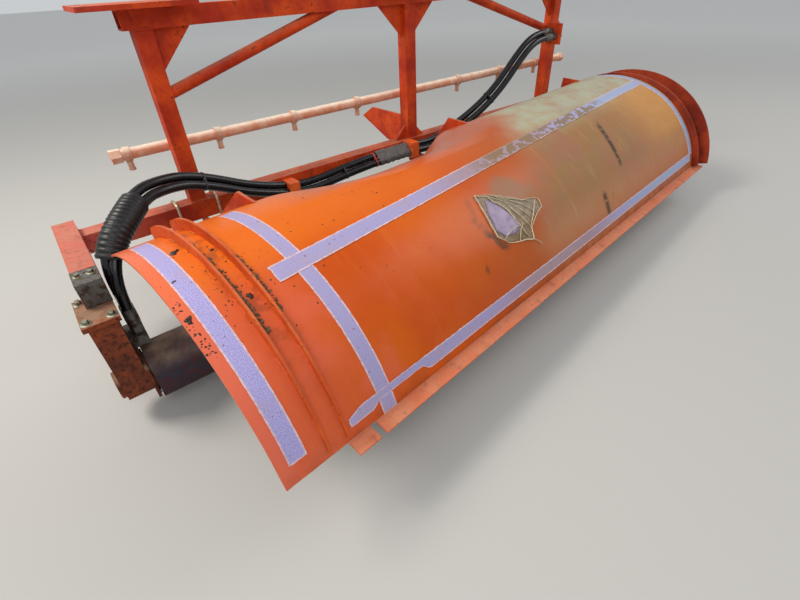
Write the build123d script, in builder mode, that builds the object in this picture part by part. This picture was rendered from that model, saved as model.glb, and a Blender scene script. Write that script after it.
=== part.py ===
from build123d import *
import math
import os

# Broom head of a self-propelled broom: hood, bare brush core, end arms and carrier frame.
# Sizes are in millimetres. X runs along the brush from its motor end to its bearing end,
# Y runs from the open front of the hood to the carrier frame, and Z is up.
# The origin is the centre of the top face of the middle mounting plate.

# Hood, which hangs askew under the frame: turned about Z, with its left end further forward
hood_length = 2440
hood_radius = 464
hood_sheet = 5
hood_front_angle_left = 17.5
hood_front_angle_right = 11.5
hood_back_angle = 118
hood_turn = 6.5
hood_centre_x = -38
hood_centre_y = -470
seam_from_left = 133
rib_spacing = 50
rib_thickness = 6
rib_height = 28
rib_foot_height = 3
rib_foot_angle = 19
rib_peak_angle = 105
rib_end_radius = 22
rim_thickness = 8
rim_peak_angle = 35
rim_end_angle = 104
rim_end_height = 3
rim_flanges = (
    # distance from the far end, greatest height
    (58, 28),
    (8, 62),
)
lip_width = 38
lip_slope = 8
lip_pieces = (
    # from the left end, to
    (154, 214),
    (232, hood_length),
)
bracket_thickness = 10
bracket_low_angle = 108
bracket_neck = 42
hose_room = 100

# Carrier frame
tube_wall = 5
beam_side = 60
post_side = 50
post_height = 500
post_inset = 264
beam_above_axis = 330
plate_thickness = 12
plate_length = 300
plate_width = 180
plate_hole_x = 240
plate_hole_y = 120
plate_hole_diameter = 18
brace_diameter = 34
brace_foot_height = 325
brace_head_from_middle = 278
gusset_head_side = 110
gusset_foot_side = 55
gusset_thickness = 8
back_plate_thickness = 12
back_plate_corners = (
    # back from the beam's centre, up from the beam's top
    (25, 88),
    (263, 85),
    (344, 35),
    (158, -38),
    (30, -60),
    (30, 0),
    (25, 0),
)

# End arms and hangers
arm_side = 60
arm_gap = 64
arm_rise = 22
arm_behind = 60
arm_tip_behind_core = 20
cap_thickness = 8
cap_length = 70
hanger_width = 66
hanger_depth = 110
hanger_plate = 10
hanger_outward = 14
hanger_flange_width = 84
hanger_flange_depth = 140
hanger_flange_thickness = 14
hanger_below_core = 20
bearing_housing_radius = 42

# Brush core and its drive
core_diameter = 168
core_wall = 8
core_behind_hood = 70
core_above_hood = 47
running_gap = 5
shaft_play = 0.05
motor_side = 128
motor_flange_thickness = 8
motor_diameter = 118
motor_length = 130
motor_nose_diameter = 80
motor_nose_proud = 12
drive_shaft_diameter = 32
drive_shaft_grip = 50
drive_disc_thickness = 16
bearing_shaft_diameter = 50
bearing_flange_side = 120
bearing_flange_thickness = 18
end_flange_diameter = 230
end_flange_thickness = 20
end_flange_gap = 30
shaft_end_proud = 14

# Spray bar
spray_pipe_diameter = 34
spray_pipe_wall = 4
spray_above_beam = 180
spray_overhang = 164
spray_cap_across_flats = 38
spray_cap_length = 30
nozzle_count = 8
nozzle_left_margin = 17
nozzle_right_margin = 207
nozzle_clamp_width = 20
nozzle_clamp_wall = 5
nozzle_diameter = 18
nozzle_drop = 32

# Hoses
hose_diameter = 28
hose_offset = 15.2
sleeve_play = 2
sleeve_wall = 5
sleeve_runs = (2, 0.6, 4, 0.75)
grommet_thickness = 8
fitting_across_flats = 28
fitting_length = 30
port_block_height = 32
port_block_depth = 80
port_block_margin = 2
hose_clamp_width = 40
hose_clamp_margin = 6
left_clamp_from_post = 326
middle_clamp_from_post = -40
bulkhead_thickness = 8
bulkhead_height = 90

# Places worked out from the sizes
rail_top_z = -plate_thickness
beam_top_z = rail_top_z - post_side - post_height
hood_z = beam_top_z - beam_above_axis
core_y = hood_centre_y + core_behind_hood
core_z = hood_z + core_above_hood
post_spacing = hood_length / 2 - post_inset
post_xs = (-post_spacing, 0, post_spacing)
spray_half_length = post_spacing + spray_overhang
beam_left = hood_centre_x - hood_length / 2 * math.cos(math.radians(hood_turn)) - arm_gap
beam_right = hood_centre_x + hood_length / 2 * math.cos(math.radians(hood_turn)) + arm_gap
beam_front_y = -beam_side / 2
beam_bottom_z = beam_top_z - beam_side
arm_top_z = beam_top_z + arm_rise
arm_bottom_z = arm_top_z - arm_side
arm_tip_y = core_y + arm_tip_behind_core
left_hanger_x = beam_left - arm_side / 2 - hanger_outward
right_hanger_x = beam_right + arm_side / 2 + hanger_outward
motor_face_x = left_hanger_x + hanger_width / 2
core_left = motor_face_x + motor_flange_thickness + running_gap
bearing_face_x = right_hanger_x - hanger_width / 2
core_right = bearing_face_x - end_flange_gap - end_flange_thickness
nozzle_first_x = nozzle_left_margin - spray_half_length
nozzle_spacing = (spray_half_length - nozzle_right_margin - nozzle_first_x) / (nozzle_count - 1)

# Centre line of the pair of hoses, by points chosen along the real route.
# Each is measured from the hanger's face and the core, or from a post and the beam.
at_hanger = (motor_face_x, core_y)
at_left_post, at_middle_post, at_right_post = ((x, 0) for x in post_xs)
route_table = (
    # from, along X, along Y, above the beam's top
    (at_hanger, 29, 35, -128),
    (at_hanger, 29, 35, -58),
    (at_hanger, 35, 48, 12),
    (at_hanger, 59, 70, 70),
    (at_hanger, 103, 100, 107),
    (at_left_post, -184, -200, 134),
    (at_left_post, -119, -150, 127),
    (at_left_post, -44, -120, 114),
    (at_left_post, 46, -100, 75),
    (at_left_post, 161, -80, 13),
    (at_left_post, 296, -60, -36),
    (at_left_post, 411, -60, -54),
    (at_middle_post, -365, -60, -35),
    (at_middle_post, -172, -60, -26),
    (at_middle_post, -20, -60, -28),
    (at_middle_post, 88, -60, -37),
    (at_middle_post, 230, -60, 2),
    (at_middle_post, 394, -60, 63),
    (at_right_post, -429, -60, 141),
    (at_right_post, -306, -60, 250),
    (at_right_post, -231, -60, 300),
    (at_right_post, -156, -60, 319),
    (at_right_post, -86, -60, 319),
)
pair_route = [Vector(x + dx, y + dy, beam_top_z + up) for (x, y), dx, dy, up in route_table]
hose_clamps_at = (post_xs[0] + left_clamp_from_post, post_xs[1] + middle_clamp_from_post)

os.makedirs("parts", exist_ok=True)


def save(piece, label):
    piece.label = label
    export_step(piece, f"parts/{label}.step")


# The hood's own directions, and its sections along its axis
turn = math.radians(hood_turn)
hood_along = Vector(math.cos(turn), math.sin(turn), 0)
hood_back = Vector(-math.sin(turn), math.cos(turn), 0)
hood_start = Vector(hood_centre_x, hood_centre_y, hood_z) - hood_along * (hood_length / 2)


def hood_section(along):
    """Plane across the hood that far from its left end, with local X to the back and local Y up."""
    return Plane(origin=hood_start + hood_along * along, x_dir=hood_back, z_dir=hood_along)


def on_hood(radius, angle):
    """Point of a section at that radius and angle above the horizontal, seen from the front."""
    rise = math.radians(angle)
    return (-radius * math.cos(rise), radius * math.sin(rise))


def arc_band(outer, inner, low, high):
    """Face between two arcs, from one angle up to another."""
    start, sweep_angle = 180 - high, high - low
    with BuildLine() as outline:
        outside = CenterArc((0, 0), outer, start, sweep_angle)
        inside = CenterArc((0, 0), inner, start, sweep_angle)
        Line(outside @ 0, inside @ 0)
        Line(outside @ 1, inside @ 1)
    make_face(outline.edges())


def square_tube(side):
    """Section of a square tube."""
    Rectangle(side, side)
    Rectangle(side - 2 * tube_wall, side - 2 * tube_wall, mode=Mode.SUBTRACT)


def crescent(peak_height, peak_angle, end_height, end_angle, low, high):
    """Face on the hood's outside that is highest at one angle and falls to an end height at another."""
    fall = 1 - math.cos(math.radians(peak_angle - end_angle))
    shift = (peak_height - end_height) / fall
    arc_band(hood_radius + 2 * peak_height, hood_radius, low, high)
    with Locations(on_hood(shift, peak_angle)):
        Circle(hood_radius + peak_height - shift, mode=Mode.INTERSECT)


# The hood's front edge, which slopes down towards the far end
front_left = hood_section(0).from_local_coords((*on_hood(hood_radius, hood_front_angle_left), 0))
front_right = hood_section(hood_length).from_local_coords((*on_hood(hood_radius, hood_front_angle_right), 0))
front_run = front_right - front_left
middle_angle = math.radians((hood_front_angle_left + hood_front_angle_right) / 2)
outward = Vector(0, 0, math.sin(middle_angle)) - hood_back * math.cos(middle_angle)
front_cut = Plane(origin=front_left, x_dir=front_run, z_dir=front_run.cross(outward) * -1)

# Hood: two rolled sheets that meet at a seam
for label, start, length in (
    ("hood_end_section", 0, seam_from_left),
    ("hood_main_section", seam_from_left, hood_length - seam_from_left),
):
    with BuildPart() as hood_part:
        with BuildSketch(hood_section(start)):
            arc_band(hood_radius, hood_radius - hood_sheet, 0, hood_back_angle)
        extrude(amount=length)
        split(bisect_by=front_cut, keep=Keep.TOP)
    save(hood_part.part, label)

# Two upstanding ribs beside the seam, highest over the top and running out at the front
rib_end = on_hood(hood_radius + rib_height, hood_back_angle)
for side, label in ((-1, "rib_outer"), (1, "rib_inner")):
    with BuildPart() as rib:
        with BuildSketch(hood_section(seam_from_left + side * rib_spacing / 2 - rib_thickness / 2)) as rib_face:
            crescent(rib_height, rib_peak_angle, rib_foot_height, rib_foot_angle, rib_foot_angle, hood_back_angle)
            fillet(rib_face.vertices().sort_by_distance(Vector(*rib_end))[0], rib_end_radius)
        extrude(amount=rib_thickness)
    save(rib.part, label)

# Two stiffening flanges at the far end of the hood, highest at the front
with BuildPart() as rim:
    for from_right, height in rim_flanges:
        with BuildSketch(hood_section(hood_length - from_right)):
            crescent(height, rim_peak_angle, rim_end_height, rim_end_angle, 0, rim_end_angle)
        extrude(amount=rim_thickness)
    split(bisect_by=front_cut, keep=Keep.TOP)
save(rim.part, "rim_flanges")

# Out-turned lip along the front edge, with a gap beside its near end
lip_tilt = math.radians(lip_slope)
lip_out = hood_back * -math.cos(lip_tilt) - Vector(0, 0, math.sin(lip_tilt))
lip_plane = Plane(origin=front_left, x_dir=front_run, z_dir=front_run.cross(lip_out) * -1)
lip_stretch = front_run.length / hood_length
with BuildPart() as lip:
    with BuildSketch(lip_plane):
        for start, end in lip_pieces:
            with Locations(((start + end) / 2 * lip_stretch, -lip_width / 2)):
                Rectangle((end - start) * lip_stretch, lip_width)
    extrude(amount=-hood_sheet)
save(lip.part, "front_lip")

# Brackets from the hood's back edge to the underside of the lower beam, with room for the hoses
with BuildPart() as brackets:
    for x in post_xs:
        along = (Vector(x, 0, 0) - hood_start).dot(hood_along)
        behind = (Vector(x, 0, 0) - hood_start).dot(hood_back)
        with BuildSketch(hood_section(along - bracket_thickness / 2)):
            with BuildLine() as outline:
                arc = CenterArc((0, 0), hood_radius, 180 - hood_back_angle, hood_back_angle - bracket_low_angle)
                Polyline(
                    arc @ 1,
                    on_hood(hood_radius + bracket_neck, hood_back_angle),
                    (behind - hose_room, beam_above_axis - beam_side),
                    (behind, beam_above_axis - beam_side),
                    (behind, beam_above_axis - beam_side - bracket_neck),
                    (behind - hose_room, beam_above_axis - beam_side - bracket_neck),
                    arc @ 0,
                )
            make_face(outline.edges())
        extrude(amount=bracket_thickness)
save(brackets.part, "hood_brackets")

# Carrier frame: lower beam, three posts, top rail, braces, gussets and mounting plates
with BuildPart() as beam:
    with BuildSketch(Plane.YZ.offset(beam_left)):
        with Locations((0, beam_top_z - beam_side / 2)):
            square_tube(beam_side)
    extrude(amount=beam_right - beam_left)
save(beam.part, "lower_beam")

for x, label in zip(post_xs, ("post_left", "post_middle", "post_right")):
    with BuildPart() as post:
        with BuildSketch(Plane.XY.offset(beam_top_z)):
            with Locations((x, 0)):
                square_tube(post_side)
        extrude(amount=post_height)
    save(post.part, label)

rail_half_length = post_spacing + post_side
rail_z = rail_top_z - post_side / 2
with BuildPart() as rail:
    with BuildSketch(Plane.YZ.offset(-rail_half_length)):
        with Locations((0, rail_z)):
            square_tube(post_side)
    extrude(amount=2 * rail_half_length)
save(rail.part, "top_rail")

with BuildPart() as plates:
    with BuildSketch(Plane.XY.offset(-plate_thickness)):
        with Locations(*[(x, 0) for x in post_xs]):
            Rectangle(plate_length, plate_width)
        for x in post_xs:
            with Locations((x, 0)):
                with GridLocations(plate_hole_x, plate_hole_y, 2, 2):
                    Circle(plate_hole_diameter / 2, mode=Mode.SUBTRACT)
    extrude(amount=plate_thickness)
save(plates.part, "mounting_plates")

# Each brace runs from the inner side of an outer post up to the underside of the top rail
for side, label in ((-1, "brace_left"), (1, "brace_right")):
    foot = Vector(side * post_spacing, 0, beam_top_z + brace_foot_height)
    head = Vector(side * brace_head_from_middle, 0, rail_z)
    with BuildPart() as brace:
        with BuildSketch(Plane(origin=foot, z_dir=head - foot)):
            Circle(brace_diameter / 2)
            Circle(brace_diameter / 2 - tube_wall, mode=Mode.SUBTRACT)
        extrude(amount=(head - foot).length)
        with Locations((side * post_spacing, 0, beam_top_z + post_height / 2)):
            Box(post_side, post_side, post_height, mode=Mode.SUBTRACT)
        with Locations((0, 0, rail_z)):
            Box(2 * rail_half_length, post_side, post_side, mode=Mode.SUBTRACT)
    save(brace.part.solids().sort_by(SortBy.VOLUME)[-1], label)

# Triangular gussets at the heads of the posts and, smaller, at the foot of the middle one
rail_bottom_z = rail_top_z - post_side
gusset_corners = (
    # x, z, size along X, size along Z
    (post_xs[0] + post_side / 2, rail_bottom_z, gusset_head_side, -gusset_head_side),
    (post_xs[1] - post_side / 2, rail_bottom_z, -gusset_head_side, -gusset_head_side),
    (post_xs[1] + post_side / 2, rail_bottom_z, gusset_head_side, -gusset_head_side),
    (post_xs[2] - post_side / 2, rail_bottom_z, -gusset_head_side, -gusset_head_side),
    (post_xs[1] - post_side / 2, beam_top_z, -gusset_foot_side, gusset_foot_side),
    (post_xs[1] + post_side / 2, beam_top_z, gusset_foot_side, gusset_foot_side),
)
with BuildPart() as gussets:
    for x, z, along, up in gusset_corners:
        with BuildSketch(Plane.XZ.offset(-gusset_thickness / 2)):
            with BuildLine():
                Polyline((x, z), (x + along, z), (x, z + up), close=True)
            make_face()
        extrude(amount=gusset_thickness)
save(gussets.part, "post_gussets")

# Plate that stands out behind the foot of the middle post
with BuildPart() as back_plate:
    with BuildSketch(Plane.YZ.offset(-back_plate_thickness / 2)):
        with BuildLine():
            Polyline(*[(back, beam_top_z + up) for back, up in back_plate_corners], close=True)
        make_face()
    extrude(amount=back_plate_thickness)
save(back_plate.part, "post_back_plate")

# End arms beside the beam's ends, with an angle cap on each tip
arm_xs = (beam_left - arm_side / 2, beam_right + arm_side / 2)
for x, label in zip(arm_xs, ("arm_left", "arm_right")):
    with BuildPart() as arm:
        with BuildSketch(Plane.XZ.offset(-arm_behind)):
            with Locations((x, arm_top_z - arm_side / 2)):
                square_tube(arm_side)
        extrude(amount=arm_behind - arm_tip_y)
    save(arm.part, label)

with BuildPart() as caps:
    for x in arm_xs:
        with BuildSketch(Plane.YZ.offset(x - arm_side / 2)):
            with BuildLine():
                Polyline(
                    (arm_tip_y, arm_bottom_z),
                    (arm_tip_y, arm_top_z),
                    (arm_tip_y + cap_length, arm_top_z),
                    (arm_tip_y + cap_length, arm_top_z + cap_thickness),
                    (arm_tip_y - cap_thickness, arm_top_z + cap_thickness),
                    (arm_tip_y - cap_thickness, arm_bottom_z),
                    close=True,
                )
            make_face()
        extrude(amount=arm_side)
save(caps.part, "arm_caps")

# Hangers: a bolted flange under each arm, with a channel that drops to the core's axis
channel_top_z = arm_bottom_z - hanger_flange_thickness
for x, bottom_z, eye_radius, bore, label in (
    (left_hanger_x, core_z - hanger_below_core, 0, motor_nose_diameter, "hanger_left"),
    (right_hanger_x, core_z, hanger_depth / 2, 2 * bearing_housing_radius, "hanger_right"),
):
    with BuildPart() as hanger:
        with BuildSketch(Plane.YZ.offset(x - hanger_width / 2)):
            with Locations((core_y, (channel_top_z + bottom_z) / 2)):
                Rectangle(hanger_depth, channel_top_z - bottom_z)
            if eye_radius:
                with Locations((core_y, core_z)):
                    Circle(eye_radius)
        extrude(amount=hanger_width)
        with Locations((x, core_y + hanger_plate, (channel_top_z + bottom_z) / 2)):
            Box(
                hanger_width - 2 * hanger_plate,
                hanger_depth,
                channel_top_z - bottom_z - 2 * hanger_plate,
                mode=Mode.SUBTRACT,
            )
        with BuildSketch(Plane.YZ.offset(x - hanger_width / 2)):
            with Locations((core_y, core_z)):
                Circle(bore / 2)
        extrude(amount=hanger_width, mode=Mode.SUBTRACT)
        with Locations((x, core_y, arm_bottom_z - hanger_flange_thickness / 2)):
            Box(hanger_flange_width, hanger_flange_depth, hanger_flange_thickness)
    save(hanger.part, label)

# Hydraulic motor: flange on the hanger, body inside the core, nose through the hanger
with BuildPart() as motor:
    with BuildSketch(Plane.YZ.offset(motor_face_x)):
        with Locations((core_y, core_z)):
            RectangleRounded(motor_side, motor_side, motor_side / 5)
    extrude(amount=motor_flange_thickness)
    with BuildSketch(Plane.YZ.offset(motor_face_x + motor_flange_thickness)):
        with Locations((core_y, core_z)):
            Circle(motor_diameter / 2)
    extrude(amount=motor_length)
    with BuildSketch(Plane.YZ.offset(motor_face_x)):
        with Locations((core_y, core_z)):
            Circle(motor_nose_diameter / 2)
    extrude(amount=-hanger_width - motor_nose_proud)
    with BuildSketch(Plane.YZ.offset(motor_face_x + motor_flange_thickness + motor_length)):
        with Locations((core_y, core_z)):
            Circle(drive_shaft_diameter / 2 + shaft_play)
    extrude(amount=-drive_shaft_grip - running_gap, mode=Mode.SUBTRACT)
save(motor.part, "hydraulic_motor")

# Port block on the hanger's inner face above the core, with a fitting for each hose
port_x, port_y, port_end_z = pair_route[0]
port_top_z = port_end_z - fitting_length
port_right_x = port_x + fitting_across_flats / 2 + port_block_margin
with BuildPart() as ports:
    with Locations(((motor_face_x + port_right_x) / 2, port_y, port_top_z - port_block_height / 2)):
        Box(port_right_x - motor_face_x, port_block_depth, port_block_height)
    with BuildSketch(Plane.XY.offset(port_top_z)):
        with Locations((port_x, port_y - hose_offset), (port_x, port_y + hose_offset)):
            RegularPolygon(fitting_across_flats / 2, 6, major_radius=False)
    extrude(amount=fitting_length)
save(ports.part, "port_block")

# Flange bearing on the outer face of the far hanger
with BuildPart() as bearing:
    with BuildSketch(Plane.YZ.offset(bearing_face_x)):
        with Locations((core_y, core_z)):
            Circle(bearing_housing_radius)
    extrude(amount=hanger_width)
    with BuildSketch(Plane.YZ.offset(bearing_face_x + hanger_width)):
        with Locations((core_y, core_z)):
            RectangleRounded(bearing_flange_side, bearing_flange_side, bearing_flange_side / 5)
    extrude(amount=bearing_flange_thickness)
    with BuildSketch(Plane.YZ.offset(bearing_face_x)):
        with Locations((core_y, core_z)):
            Circle(bearing_shaft_diameter / 2 + shaft_play)
    extrude(amount=hanger_width + bearing_flange_thickness, mode=Mode.SUBTRACT)
save(bearing.part, "flange_bearing")

# Turning parts: tube, drive disc with the motor's shaft, end flange with the bearing's shaft
with BuildPart() as core:
    with BuildSketch(Plane.YZ.offset(core_left)):
        with Locations((core_y, core_z)):
            Circle(core_diameter / 2)
            Circle(core_diameter / 2 - core_wall, mode=Mode.SUBTRACT)
    extrude(amount=core_right - core_left)
save(core.part, "core_tube")

drive_disc_x = motor_face_x + motor_flange_thickness + motor_length + running_gap
with BuildPart() as drive:
    with BuildSketch(Plane.YZ.offset(drive_disc_x)):
        with Locations((core_y, core_z)):
            Circle(core_diameter / 2 - core_wall)
    extrude(amount=drive_disc_thickness)
    with BuildSketch(Plane.YZ.offset(drive_disc_x)):
        with Locations((core_y, core_z)):
            Circle(drive_shaft_diameter / 2)
    extrude(amount=-running_gap - drive_shaft_grip)
save(drive.part, "drive_disc")

with BuildPart() as end_flange:
    with BuildSketch(Plane.YZ.offset(core_right)):
        with Locations((core_y, core_z)):
            RegularPolygon(end_flange_diameter / 2, 8)
    extrude(amount=end_flange_thickness)
    with BuildSketch(Plane.YZ.offset(core_right + end_flange_thickness)):
        with Locations((core_y, core_z)):
            Circle(bearing_shaft_diameter / 2)
    extrude(amount=end_flange_gap + hanger_width + bearing_flange_thickness + shaft_end_proud)
save(end_flange.part, "end_flange_and_shaft")

# Spray bar behind the posts, its end caps and its clamped nozzles
spray_y = post_side / 2 + spray_pipe_diameter / 2
spray_z = beam_top_z + spray_above_beam
with BuildPart() as pipe:
    with BuildSketch(Plane.YZ.offset(-spray_half_length)):
        with Locations((spray_y, spray_z)):
            Circle(spray_pipe_diameter / 2)
            Circle(spray_pipe_diameter / 2 - spray_pipe_wall, mode=Mode.SUBTRACT)
    extrude(amount=2 * spray_half_length)
save(pipe.part, "spray_pipe")

with BuildPart() as end_caps:
    for side in (-1, 1):
        with BuildSketch(Plane.YZ.offset(side * spray_half_length)):
            with Locations((spray_y, spray_z)):
                RegularPolygon(spray_cap_across_flats / 2, 6, major_radius=False)
        extrude(amount=side * spray_cap_length)
save(end_caps.part, "spray_caps")

with BuildPart() as nozzles:
    for n in range(nozzle_count):
        nozzle_x = nozzle_first_x + n * nozzle_spacing
        with BuildSketch(Plane.YZ.offset(nozzle_x - nozzle_clamp_width / 2)):
            with Locations((spray_y, spray_z)):
                Circle(spray_pipe_diameter / 2 + nozzle_clamp_wall)
        extrude(amount=nozzle_clamp_width)
        with BuildSketch(Plane.XY.offset(spray_z)):
            with Locations((nozzle_x, spray_y)):
                Circle(nozzle_diameter / 2)
        extrude(amount=-spray_pipe_diameter / 2 - nozzle_drop)
    with BuildSketch(Plane.YZ.offset(-spray_half_length)):
        with Locations((spray_y, spray_z)):
            Circle(spray_pipe_diameter / 2)
    extrude(amount=2 * spray_half_length, mode=Mode.SUBTRACT)
save(nozzles.part, "spray_nozzles")

# Angle on the far post's front, where both hoses end and the machine's hoses screw on
hose_end_x, hose_end_y, hose_end_z = pair_route[-1]
bulkhead_x = hose_end_x + fitting_length
bulkhead_front_y = hose_end_y - hose_offset - fitting_across_flats
post_front_y = -post_side / 2
with BuildPart() as bulkhead:
    with BuildSketch(Plane.XY.offset(hose_end_z - bulkhead_height / 2)):
        with BuildLine():
            Polyline(
                (bulkhead_x, bulkhead_front_y),
                (bulkhead_x, post_front_y),
                (post_spacing + post_side / 2, post_front_y),
                (post_spacing + post_side / 2, post_front_y - bulkhead_thickness),
                (bulkhead_x + bulkhead_thickness, post_front_y - bulkhead_thickness),
                (bulkhead_x + bulkhead_thickness, bulkhead_front_y),
                close=True,
            )
        make_face()
    extrude(amount=bulkhead_height)
save(bulkhead.part, "hose_bulkhead")

pair_step = hose_offset / math.sqrt(2)
with BuildPart() as fittings:
    for start in (hose_end_x, bulkhead_x + bulkhead_thickness):
        with BuildSketch(Plane.YZ.offset(start)):
            with Locations(
                (hose_end_y - pair_step, hose_end_z - pair_step),
                (hose_end_y + pair_step, hose_end_z + pair_step),
            ):
                RegularPolygon(fitting_across_flats / 2, 6, major_radius=False, rotation=15)
        extrude(amount=fitting_length)
save(fittings.part, "bulkhead_fittings")


def hose_corners(shift):
    """Corners of a line beside the pair's centre line, shifted by that many millimetres."""
    last = len(pair_route) - 1
    shifted = []
    for n, point in enumerate(pair_route):
        if n < 2:
            along = pair_route[1] - pair_route[0]
        elif n > last - 2:
            along = pair_route[last] - pair_route[last - 1]
        else:
            along = pair_route[n + 1] - pair_route[n - 1]
        along = along.normalized()
        across = Vector(0, 1, 1) - along * (along.Y + along.Z)
        shifted.append(point + across.normalized() * shift)
    return shifted


def bend_radii(corners):
    """Largest arc that each corner's two runs allow."""
    radii = []
    for before, corner, after in zip(corners, corners[1:], corners[2:]):
        half_turn = math.radians((corner - before).get_angle(after - corner) / 2)
        shorter = min((corner - before).length, (after - corner).length)
        radii.append(0.45 * shorter / math.tan(half_turn))
    return radii


def tube_along(corners, outer, bore, label):
    """Round hose or sleeve along straight runs joined by tangent arcs."""
    radii = bend_radii(corners)
    with BuildPart() as tube:
        with BuildLine():
            path = FilletPolyline(*corners, radius=radii)
        with BuildSketch(Plane(origin=path @ 0, z_dir=path % 0)):
            Circle(outer / 2)
            if bore:
                Circle(bore / 2, mode=Mode.SUBTRACT)
        sweep(path=path)
    section = math.pi * (outer**2 - bore**2) / 4
    print(label, "length", round(path.length), "volume share", round(tube.part.volume / section / path.length, 4))
    print(label, "radii", [round(radius) for radius in radii])
    save(tube.part, label)
    return tube.part


hoses = []
for shift, label in ((-hose_offset, "hose_lower"), (hose_offset, "hose_upper")):
    hoses.append(tube_along(hose_corners(shift), hose_diameter, 0, label))

# Corrugated sleeve round both hoses where they rise past the hood's corner
first_run, first_share, last_run, last_share = sleeve_runs
pair = hose_corners(0)
sleeve_corners = [
    pair[first_run] + (pair[first_run + 1] - pair[first_run]) * first_share,
    *pair[first_run + 1:last_run + 1],
    pair[last_run] + (pair[last_run + 1] - pair[last_run]) * last_share,
]
sleeve_bore = 2 * hose_offset + hose_diameter + 2 * sleeve_play
tube_along(sleeve_corners, sleeve_bore + 2 * sleeve_wall, sleeve_bore, "hose_sleeve")

# Grommets that close the sleeve's ends round the hoses
with BuildPart() as grommets:
    for end, inner in ((sleeve_corners[0], sleeve_corners[1]), (sleeve_corners[-1], sleeve_corners[-2])):
        with BuildSketch(Plane(origin=end, z_dir=inner - end)):
            Circle(sleeve_bore / 2)
        extrude(amount=grommet_thickness)
    for hose in hoses:
        add(hose, mode=Mode.SUBTRACT)
save(grommets.part, "sleeve_grommets")

# Clamps that hold both hoses to the front of the beam
clamp_front_y = hose_end_y - pair_step - hose_diameter / 2 - hose_clamp_margin
clamp_height = 2 * (pair_step + hose_diameter / 2 + hose_clamp_margin)
with BuildPart() as clamps:
    for x in hose_clamps_at:
        run = max(n for n, point in enumerate(pair) if point.X < x)
        share = (x - pair[run].X) / (pair[run + 1].X - pair[run].X)
        clamp_z = pair[run].Z + (pair[run + 1].Z - pair[run].Z) * share
        with Locations((x, (clamp_front_y + beam_front_y) / 2, clamp_z)):
            Box(hose_clamp_width, beam_front_y - clamp_front_y, clamp_height)
    for hose in hoses:
        add(hose, mode=Mode.SUBTRACT)
save(clamps.part, "hose_clamps")
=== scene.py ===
import bpy
import bisect
import bmesh
import math
import random
from mathutils import Matrix, Vector, noise


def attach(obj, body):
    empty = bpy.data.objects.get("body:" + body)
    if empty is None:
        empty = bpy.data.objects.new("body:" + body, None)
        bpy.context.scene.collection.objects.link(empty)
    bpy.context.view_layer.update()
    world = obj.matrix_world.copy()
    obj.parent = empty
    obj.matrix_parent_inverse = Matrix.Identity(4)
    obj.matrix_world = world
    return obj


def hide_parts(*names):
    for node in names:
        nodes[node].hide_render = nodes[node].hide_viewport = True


# Looks of a broom head of a self-propelled broom, in metres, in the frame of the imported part.

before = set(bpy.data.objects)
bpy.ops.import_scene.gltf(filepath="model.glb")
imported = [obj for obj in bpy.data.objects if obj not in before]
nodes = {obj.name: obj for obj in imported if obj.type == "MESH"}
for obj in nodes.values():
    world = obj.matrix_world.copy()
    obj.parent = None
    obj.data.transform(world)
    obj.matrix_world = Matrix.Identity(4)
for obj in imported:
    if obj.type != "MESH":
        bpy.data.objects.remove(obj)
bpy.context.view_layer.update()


def box(name):
    """Lowest and highest corner of a CAD node."""
    corners = [nodes[name].matrix_world @ Vector(corner) for corner in nodes[name].bound_box]
    return [Vector([pick(corner[i] for corner in corners) for i in range(3)]) for pick in (min, max)]


def middle(name):
    """Middle of a CAD node's box."""
    low, high = box(name)
    return (low + high) / 2


# The hood's own directions and sizes
HOOD_TURN = math.radians(6.5)
ALONG = Vector((math.cos(HOOD_TURN), math.sin(HOOD_TURN), 0))
BACK = Vector((-math.sin(HOOD_TURN), math.cos(HOOD_TURN), 0))
UP = Vector((0, 0, 1))
HOOD_LENGTH = 2.44
HOOD_RADIUS = 0.464
HOOD_SHEET = 0.005
HOOD_CENTRE = Vector((-0.038, -0.470, -0.892))
HOOD_START = HOOD_CENTRE - ALONG * (HOOD_LENGTH / 2)
FRONT_LEFT, FRONT_RIGHT, BACK_ANGLE = 17.5, 11.5, 118
SEAM = 0.133


def add_object(name, data):
    made = bpy.data.objects.new(name, data)
    bpy.context.scene.collection.objects.link(made)
    return made


# The camera, at the photo's viewing angle
CAMERA_PLACE = Vector((-1.29718, -1.55577, 0.04347))
YAW, PITCH, ROLL = -37.67, 36.93, -2.73
camera = add_object("camera", bpy.data.cameras.new("camera"))
camera.data.lens = 19.8
camera.data.sensor_width = 36
camera.data.clip_start = 0.01
camera.matrix_world = Matrix.Translation(CAMERA_PLACE)
for degrees, axis in ((YAW, "Z"), (90 - PITCH, "X"), (ROLL, "Z")):
    camera.matrix_world @= Matrix.Rotation(math.radians(degrees), 4, axis)
bpy.context.scene.camera = camera


# Materials. In each function, m is the material that it makes or adds to.

def linear(colour):
    """Linear form of a display colour. Its red, green and blue go from 0 to 255."""
    shares = [v / 255 for v in colour]
    return (*(v / 12.92 if v <= 0.04045 else ((v + 0.055) / 1.055) ** 2.4 for v in shares), 1)


DUST = (176, 150, 122)
RUST = (112, 52, 26)
TAR = (34, 24, 20)


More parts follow.
